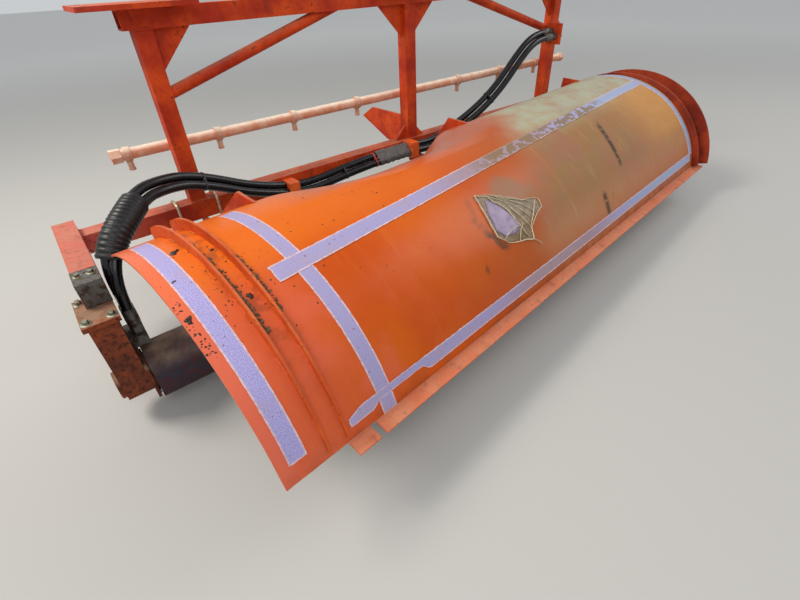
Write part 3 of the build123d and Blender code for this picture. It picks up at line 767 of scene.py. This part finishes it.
def long_tape(name, x0, x1, a0, a1, lean, torn=False):
    """Strip along the hood. a0 and a1 are its angles at the near end, lean its rise in degrees per metre."""
    columns, angles = sealed(x0, x1, 0.012, TAPE_SEAL), sealed(a0, a1, 0.9, SEAL_ANGLE)

    def ragged(i, j, x, a):
        dx, da = 0.0, lean * (x - x0)
        if j in (0, len(angles) - 1):
            da += 0.22 * uneven(i * 0.7, j, 3.0)
        if i < 2:
            dx = 0.004 * uneven(j * 1.1, 1, 7.0)
        if torn:
            # The near end has a cut corner, and its lower half is torn off behind a wider tip
            torn_off = 0.8 + 1.5 * ease(x, 0.235, 0.262) - 2.3 * ease(x, 0.400, 0.425)
            corner = 1.4 - 1.4 * ease(x, 0.172, 0.215)
            da += (torn_off * (a1 - a) - corner * (a - a0)) / (a1 - a0)
        return dx, da

    hood_patch(name, columns, angles, TAPE_THICK, TAPE, 0.0009, ragged, TAPE_EDGE)


arc_tape("tape_arc_near", 0.0245, 0.0655, 22.5, 108, 0.00005)
arc_tape("tape_arc_second", 0.2580, 0.2990, 16.5, 106, -0.00012)
arc_tape("tape_arc_far", 2.3300, 2.3700, 20, 103, 0.0)
long_tape("tape_upper", 0.205, 2.345, 63.6, 69.4, 4.7)
long_tape("tape_lower", 0.172, 2.345, 19.6, 24.3, -1.5, torn=True)

# Ribs and rim flanges keep their CAD shape. Mud and tar lie along them.
random.seed(11)
mud, tar = Build(), Build()
for n in range(300):
    # Thick along the near rib's inner side, thin beside the other rib
    if random.random() < 0.72:
        x, angle = random.gauss(0.1195, 0.0028), 53 + 38 * random.random() ** 1.2
    else:
        x, angle = random.gauss(0.171, 0.0035), 56 + 22 * random.random()
    size = random.uniform(0.0012, 0.0040)
    mud.blob(on_hood(x, angle), hood_normal(angle), size, size * random.uniform(0.5, 0.9), n)
for n in range(130):
    x, angle = random.choice(((random.uniform(0.068, 0.16), random.uniform(56, 94)),
                              (random.uniform(0.002, 0.02), random.uniform(55, 72)),
                              (random.uniform(0.17, 0.6), random.uniform(50, 94))))
    size = random.uniform(0.0008, 0.0022)
    tar.blob(on_hood(x, angle), hood_normal(angle), size, size * 0.6, n + 500)
for x, angle, size in (
    (0.082, 90, 0.007), (0.136, 64, 0.006), (0.013, 66, 0.0055), (0.036, 78, 0.004), (0.145, 84, 0.004),
):
    for k in range(5):
        tar.blob(on_hood(x + random.gauss(0, size * 0.4), angle + random.gauss(0, size * 60)),
                 hood_normal(angle), size * random.uniform(0.4, 0.8), size * 0.5, k + 900)
mud.done("mud_along_ribs", MUD)
tar.done("tar_spots", TAR_SPOT)

# Torn film over a patch of label backing, with frayed pale edges. Outlines are in along and angle.
FILM_OUTLINE = (
    (0.846, 59.4), (0.899, 57.0), (0.942, 53.8), (1.005, 49.6), (1.074, 46.7), (1.070, 43.2), (1.028, 41.7),
    (0.976, 38.6), (0.961, 34.3), (0.920, 36.0), (0.854, 38.3), (0.821, 42.4), (0.828, 50.5),
)
LABEL_OUTLINE = (
    (0.872, 56.4), (0.906, 51.4), (0.930, 45.2), (0.933, 41.2), (0.900, 39.9), (0.854, 40.7), (0.834, 44.2),
    (0.846, 50.9),
)
FILM_LINES = (
    # radius, then points as along and angle: four along the outline, then the folds across it
    (0.0018, FILM_OUTLINE[0], *FILM_OUTLINE[:9:-1]),
    (0.0012, *FILM_OUTLINE[:5]),
    (0.0014, *FILM_OUTLINE[4:8]),
    (0.0022, *FILM_OUTLINE[10:6:-1]),
    (0.0013, (0.961, 34.3), (0.975, 32.8), (0.990, 30.5)),
    (0.0017, (0.856, 58.9), (0.883, 56.9), (0.903, 52.9), (0.926, 48.1), (0.927, 42.8), (0.949, 36.2)),
    (0.0012, (0.890, 57.0), (0.935, 51.0), (0.960, 44.0), (0.972, 38.0)),
    (0.0010, (0.905, 56.4), (0.970, 48.0), (1.000, 41.0)),
    (0.0010, (0.912, 55.8), (1.000, 47.5), (1.030, 42.5)),
    (0.0009, (0.920, 55.2), (1.020, 48.2), (1.060, 44.8)),
    (0.0014, (1.056, 46.7), (1.010, 42.0), (0.972, 38.8)),
    (0.0014, (0.846, 40.3), (0.890, 42.0), (0.929, 41.4)),
    (0.0010, (0.900, 36.8), (0.925, 40.0), (0.950, 41.5)),
)
FILM_LINE_LIFT = 0.0042


def between_corners(corners, count):
    """Even places from each corner to the next, without the last corner."""
    places = []
    for (xa, aa), (xb, ab) in zip(corners, corners[1:]):
        places += [(xa + (xb - xa) * n / count, aa + (ab - aa) * n / count) for n in range(count)]
    return places


def hood_fan(name, outline, thick, lift, material, rings, rag, crumple):
    """Sheet on the hood inside a star-shaped outline, ragged at its border and crumpled."""
    border = between_corners(outline + outline[:1], 6)
    centre_x, centre_a = (sum(values) / len(border) for values in zip(*border))
    rows = []
    for ring in range(rings + 1):
        share = ring / rings
        row = []
        for k, (x, a) in enumerate(border):
            reach = share * (1 + rag * uneven(k * 0.5, 4.2, 1.0) * share ** 3)
            px, pa = centre_x + (x - centre_x) * reach, centre_a + (a - centre_a) * reach
            row.append((px, pa, lift + crumple * abs(uneven(px * 22, pa * 0.2, 2.0))))
        rows.append(row)
    clean(shell(name, rows, thick, material, closed=True), 180)


hood_fan("torn_film", FILM_OUTLINE, 0.0003, 0.0006, FILM, 22, 0.10, 0.003)
hood_fan("label_patch", LABEL_OUTLINE, 0.0030, 0.0004, LABEL, 10, 0.04, 0.0)

strands = Build()
for k, (radius, *corners) in enumerate(FILM_LINES):
    points = []
    for x, a in between_corners(corners, 7):
        wave = uneven(k * 3.1, len(points) * 0.21, 0)
        points.append(on_hood(x + 0.004 * wave, a + 0.5 * wave, FILM_LINE_LIFT))
    points.append(on_hood(*corners[-1], FILM_LINE_LIFT))
    radii = [radius * (0.6 + 0.4 * math.sin(math.pi * n / (len(points) - 1))) for n in range(len(points))]
    strands.tube(points, radii, 6)
strands.done("film_edges", FILM_EDGE)

# Hoses: the pair's route as in the part's source, and a hose on each side of it
PAIR_ROUTE = [Vector(point) for point in (
    (-1.296, -0.365, -0.690), (-1.296, -0.365, -0.620), (-1.290, -0.352, -0.550), (-1.266, -0.330, -0.492),
    (-1.222, -0.300, -0.455), (-1.140, -0.200, -0.428), (-1.075, -0.150, -0.435), (-1.000, -0.120, -0.448),
    (-0.910, -0.100, -0.487), (-0.795, -0.080, -0.549), (-0.660, -0.060, -0.598), (-0.545, -0.060, -0.616),
    (-0.365, -0.060, -0.597), (-0.172, -0.060, -0.588), (-0.020, -0.060, -0.590), (0.088, -0.060, -0.599),
    (0.230, -0.060, -0.560), (0.394, -0.060, -0.499), (0.527, -0.060, -0.421), (0.650, -0.060, -0.312),
    (0.725, -0.060, -0.262), (0.800, -0.060, -0.243), (0.870, -0.060, -0.243),
)]
HOSE_DIAMETER = 0.028
HOSE_OFFSET = 0.0152


def across_pair(along):
    """Direction from the lower hose to the upper one."""
    return (Vector((0, 1, 1)) - along * (along.y + along.z)).normalized()


def beside_route(shift):
    """The route's points, moved to the side. Both its ends are straight."""
    made = []
    last = len(PAIR_ROUTE) - 1
    for n, point in enumerate(PAIR_ROUTE):
        before, after = (0, 1) if n < 2 else (last - 1, last) if n > last - 2 else (n - 1, n + 1)
        along = (PAIR_ROUTE[after] - PAIR_ROUTE[before]).normalized()
        made.append(point + across_pair(along) * shift)
    return made


def nurbs(name, points, radius, material):
    """Curve with those points as its control points."""
    data = bpy.data.curves.new(name, "CURVE")
    data.dimensions = "3D"
    spline = data.splines.new("NURBS")
    spline.points.add(len(points) - 1)
    for made, point in zip(spline.points, points):
        made.co = (*point, 1)
    spline.use_endpoint_u = True
    spline.order_u = 3
    data.bevel_depth = radius
    data.bevel_resolution = 6
    data.use_fill_caps = True
    data.materials.append(material)
    return add_object(name, data)


def points_along(points):
    """Points read from the smooth line of a curve with those control points."""
    guide = nurbs("guide", points, 0, None)
    bpy.context.view_layer.update()
    mesh = bpy.data.meshes.new_from_object(guide)
    line = [v.co.copy() for v in mesh.vertices]
    bpy.data.objects.remove(guide)
    return line


# The pair's smooth line, and how far along it each of its points is
pair_line = points_along(PAIR_ROUTE)
walked = [0.0]
for a, b in zip(pair_line, pair_line[1:]):
    walked.append(walked[-1] + (b - a).length)


def at_length(wanted):
    """Point and direction that far along the pair's line."""
    n = bisect.bisect_left(walked, wanted)
    a, b = pair_line[n - 1], pair_line[n]
    return a.lerp(b, (wanted - walked[n - 1]) / (b - a).length), (b - a).normalized()


def nearest_length(x, y, z):
    """How far along the pair's line the place nearest to a point is."""
    return min(zip(pair_line, walked), key=lambda pair: (pair[0] - Vector((x, y, z))).length)[1]


# Corrugated sleeve over both hoses
SLEEVE_START = (-1.2756, -0.3388, -0.5152)
SLEEVE_END = (-1.1605, -0.225, -0.43475)
SLEEVE_RADIUS = 0.0361
SLEEVE_RIDGES = 15
RIDGE_DEPTH = 0.0028
first, last = nearest_length(*SLEEVE_START), nearest_length(*SLEEVE_END)
steps = 4 * SLEEVE_RIDGES
points = [at_length(first + (last - first) * n / steps)[0] for n in range(steps + 1)]
radii = [SLEEVE_RADIUS - RIDGE_DEPTH * (1, 0.5, 0, 0.5)[n % 4] for n in range(steps + 1)]
sleeve_build = Build()
sleeve_build.tube(points, radii, 40)
sleeve = sleeve_build.done("sleeve_corrugated", SLEEVE, "sleeve_plastic", 60)
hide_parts("hose_sleeve")


def round_pair(build, start, end, pad, steps, bumps=0.0):
    """Wrapping round both hoses, as an oval that follows them."""
    rings = []
    for n in range(steps + 1):
        centre, along = at_length(start + (end - start) * n / steps)
        across = across_pair(along)
        other = along.cross(across)
        ring = []
        for k in range(28):
            a = math.tau * k / 28
            wound = (n % 5) / 5 + uneven(n * 0.3, math.cos(a), math.sin(a))
            r = HOSE_DIAMETER / 2 + pad + bumps * wound
            half = math.copysign(HOSE_OFFSET, math.cos(a)) if abs(math.cos(a)) > 0.02 else 0
            ring.append(centre + across * (math.cos(a) * r + half) + other * (math.sin(a) * r))
        rings.append(ring)
    build.loft(rings)


# Grey tape wound over both hoses in front of the middle post, and ties round them
WRAP_START, WRAP_END = (-0.23, -0.06, -0.59), (-0.02, -0.06, -0.59)
CLAMP_ROOM = 0.045
TIE_HALF_WIDTH = 0.0022
wrap, ties, red_ties = Build(), Build(), Build()
wrap_end = nearest_length(*WRAP_END) - CLAMP_ROOM
round_pair(wrap, nearest_length(*WRAP_START), wrap_end, 0.0012, 30, 0.0028)
for build, place in (
    (ties, (-0.95, -0.10, -0.47)), (ties, (-0.40, -0.06, -0.60)), (ties, (0.45, -0.06, -0.46)),
    (red_ties, (-0.25, -0.06, -0.59)), (red_ties, (-0.055, -0.06, -0.59)),
):
    here = nearest_length(*place)
    round_pair(build, here - TIE_HALF_WIDTH, here + TIE_HALF_WIDTH, 0.0018, 1)
    lock = at_length(here)[0] + Vector((0, -0.0215, 0.013))
    build.tube([lock, lock + Vector((0, -0.006, 0.004))], (0.004, 0.004), 4)
round_hoses = [
    sleeve, nodes["sleeve_grommets"], wrap.done("hose_wrapping", GREY_TAPE),
    ties.done("cable_ties", TIE), red_ties.done("red_ties", TIE_RED),
]

hose_lines = []
for label, shift, length, carried in (
    ("hose_lower", -HOSE_OFFSET, 2.556, ()),
    ("hose_upper", HOSE_OFFSET, 2.579, round_hoses),
):
    control = beside_route(shift)
    hose_lines.append(points_along(control))
    hose = nurbs(f"{label}_rubber", control, HOSE_DIAMETER / 2, HOSE)
    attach(hose, "carrier")
    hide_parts(label)

# Hose ends: crimped ferrules on the fittings, as (height, radius)
ferrule = [(0.001, 0.0152), (0.004, 0.0168)]
for ring in range(5):
    foot = 0.006 + ring * 0.0075
    ferrule += [(foot, 0.0172), (foot + 0.004, 0.0172), (foot + 0.005, 0.0162), (foot + 0.0065, 0.0162)]
ferrule += [(0.046, 0.0160), (0.048, 0.0145)]
ferrules = Build()
for line in hose_lines:
    for path in (line, line[::-1]):
        ferrules.lathe(path[0], path[1] - path[0], ferrule)
ferrules.done("hose_ferrules", ZINC, "zinc_steel")

# Bolts on the hangers' flanges, the bearing, the motor and the arms' caps
BIG_HEAD = 0.014
SMALL_HEAD = 0.012
SUNK = 0.0002
BEARING_FACE, MOTOR_FACE = 1.3350, -1.3170
CAP_XS, CAP_Y = (-1.3442, 1.2702), -0.340
core = middle("core_tube")
bolts = Build()
for name, outward in (("hanger_left", -0.0284), ("hanger_right", 0.0284)):
    flange = middle(name)
    flange_top = box(name)[1].z - SUNK
    for dx, dy in ((outward, -0.052), (-outward, -0.052), (outward, 0.052)):
        at = (flange.x + dx, flange.y + dy, flange_top)
        bolts.bolt(at, (0, 0, 1), BIG_HEAD, 0.009, turn=at[0] * 90 + at[1] * 50)
for dy in (-0.045, 0.045):
    for dz in (-0.045, 0.045):
        at_bearing = (BEARING_FACE, core.y + dy, core.z + dz)
        at_motor = (MOTOR_FACE, core.y + dy, core.z + dz)
        bolts.bolt(at_bearing, (1, 0, 0), BIG_HEAD, 0.009, turn=dy * 70)
        bolts.bolt(at_motor, (1, 0, 0), BIG_HEAD, 0.0035, washer=False, turn=dz * 60)
cap_top = box("arm_caps")[1].z - SUNK
for x in CAP_XS:
    for dx in (-0.015, 0.015):
        bolts.bolt((x + dx, CAP_Y, cap_top), (0, 0, 1), SMALL_HEAD, 0.007, turn=dx * 80)
bolts.done("bolts", BOLT)

# U-bolts over the lower beam near the left post
U_BOLT_XS = (-1.032, -0.900)
U_BOLT_RADIUS = 0.0045
beam_low, beam_high = box("lower_beam")
reach = beam_high.y + 0.0035
u_bolts = Build()
for x in U_BOLT_XS:
    points = [(x, -reach, beam_low.z - 0.006), (x, -reach, beam_high.z - 0.003)]
    for n in range(1, 14):
        a = math.pi * n / 14
        points.append((x, -reach * math.cos(a), beam_high.z + 0.011 * math.sin(a)))
    points += [(x, reach, beam_high.z - 0.003), (x, reach, beam_low.z - 0.006)]
    u_bolts.tube(points, [U_BOLT_RADIUS] * len(points), 10)
    u_bolts.bolt((x, -reach, beam_low.z - 0.0005), (0, 0, -1), 0.010, 0.007, washer=False)
u_bolts.done("u_bolts", BRIGHT_ZINC)


def rectangle(a0, a1, b0, b1):
    """Corners round a rectangle, back to the first."""
    return (a0, b0), (a1, b0), (a1, b1), (a0, b1), (a0, b0)


# Weld beads round the posts' feet and heads, and round the beam's ends
welds = Build()
for k, name in enumerate(("post_left", "post_middle", "post_right")):
    low, high = box(name)
    for z, radius, seed in ((low.z + 0.0005, 0.0038, k), (high.z - 0.0005, 0.0034, k + 5)):
        welds.weld([(x, y, z) for x, y in rectangle(low.x, high.x, low.y, high.y)], radius, seed)
arm_foot = box("arm_left")[0].z
for x in (beam_low.x + 0.0006, beam_high.x - 0.0006):
    end = rectangle(beam_low.y, beam_high.y, beam_high.z, arm_foot)
    welds.weld([(x, y, z) for y, z in end], 0.0036, 9)
welds.done("weld_beads", FRAME, "frame_paint")

# Each hanger's channel is welded to its flange on three sides, and open at the back
CHANNEL_HALF_WIDTH = 0.033
hanger_welds = Build()
for k, name in enumerate(("hanger_left", "hanger_right")):
    left, right = middle(name).x - CHANNEL_HALF_WIDTH, middle(name).x + CHANNEL_HALF_WIDTH
    front, back, z = core.y - 0.055, core.y + 0.054, -0.6145
    corners = [(left, back, z), (left, front, z), (right, front, z), (right, back, z)]
    hanger_welds.weld(corners, 0.005, k + 12)
hanger_welds.done("hanger_weld_beads", CASTING, "rusty_casting")

# Short beads at the ribs' feet, staggered from side to side
rib_welds = Build()
for k, x in enumerate((0.105, 0.111, 0.155, 0.161)):
    for start in range(24, 112, 9):
        if (start // 9 + k) % 2 == 0:
            points = [on_hood(x, start + 5 * n / 9, 0.0008) for n in range(10)]
            rib_welds.tube(points, [0.0022 * (0.85 + 0.15 * (n % 2)) for n in range(10)], 6)
rib_welds.done("rib_weld_beads", HOOD, "hood_paint")

# Spray nozzles: clamp screws and tips
NOZZLE_SPACING = 0.288
CLAMP_HALF_WIDTH = 0.010
CLAMP_FRONT = 0.0215
pipe = middle("spray_pipe")
nozzles_low, nozzles_high = box("spray_nozzles")
tips = Build()
for x in spread(nozzles_low.x + CLAMP_HALF_WIDTH, nozzles_high.x - CLAMP_HALF_WIDTH, NOZZLE_SPACING):
    tips.bolt((x, pipe.y - CLAMP_FRONT, pipe.z), (0, -1, 0), 0.0055, 0.003, washer=False)
    tip = [(-0.006, 0.0105), (-0.001, 0.0105), (0.0, 0.0095)]
    tips.lathe((x, pipe.y, nozzles_low.z), (0, 0, -1), tip, 6)
tips.done("nozzle_tips", NOZZLE)

# Floor and light
FLOOR_Z = -0.966
LIGHT_STRENGTH, SEEN_STRENGTH = 0.45, 0.62


def floor_material():
    """Plain pale floor, a little paler away from the lamps."""
    m = Material("floor", 0.9)
    away = m.node("VectorMath", {0: m.place}, operation="LENGTH").outputs["Value"]
    m.colour(m.mix(m.step(away, 2.5, 9), (190, 189, 186), (244, 244, 242)))
    return m.material


bpy.ops.mesh.primitive_plane_add(size=60, location=(0, 0, FLOOR_Z))
floor = bpy.context.object
floor.name = "floor"
floor.data.materials.append(floor_material())

# The world lights at one strength and is seen, reflected and looked through at another
world = bpy.data.worlds.new("world")
world.use_nodes = True
tree = world.node_tree
backdrop = tree.nodes["Background"]
backdrop.inputs[0].default_value = (0.94, 0.97, 1.0, 1)
rays = tree.nodes.new("ShaderNodeLightPath")
direct, seen = tree.nodes.new("ShaderNodeMath"), tree.nodes.new("ShaderNodeMath")
direct.operation = seen.operation = "MAXIMUM"
strength = tree.nodes.new("ShaderNodeMapRange")
strength.inputs[3].default_value = LIGHT_STRENGTH
strength.inputs[4].default_value = SEEN_STRENGTH
for source, socket in (
    (rays.outputs["Is Camera Ray"], direct.inputs[0]), (rays.outputs["Is Glossy Ray"], direct.inputs[1]),
    (direct.outputs[0], seen.inputs[0]), (rays.outputs["Is Transmission Ray"], seen.inputs[1]),
    (seen.outputs[0], strength.inputs[0]), (strength.outputs[0], backdrop.inputs[1]),
):
    tree.links.new(source, socket)
bpy.context.scene.world = world
for name, place, target, size, watts, tint in (
    ("key", (-2.8, 0.9, 2.8), (-0.3, -0.4, -0.6), 1.4, 128, (1.0, 0.94, 0.84)),
    ("front", (-2.4, -3.4, 2.4), (-0.3, -0.4, -0.7), 3.0, 60, (1.0, 0.98, 0.96)),
    ("side", (3.2, -1.8, 2.2), (0.3, -0.4, -0.7), 2.4, 45, (1.0, 0.98, 0.96)),
):
    light = add_object(name, bpy.data.lights.new(name, "AREA"))
    light.data.energy = watts
    light.data.color = tint
    light.data.size = size
    light.location = place
    light.rotation_euler = (Vector(target) - Vector(place)).to_track_quat("-Z", "Y").to_euler()
bpy.context.scene.view_settings.view_transform = "Standard"
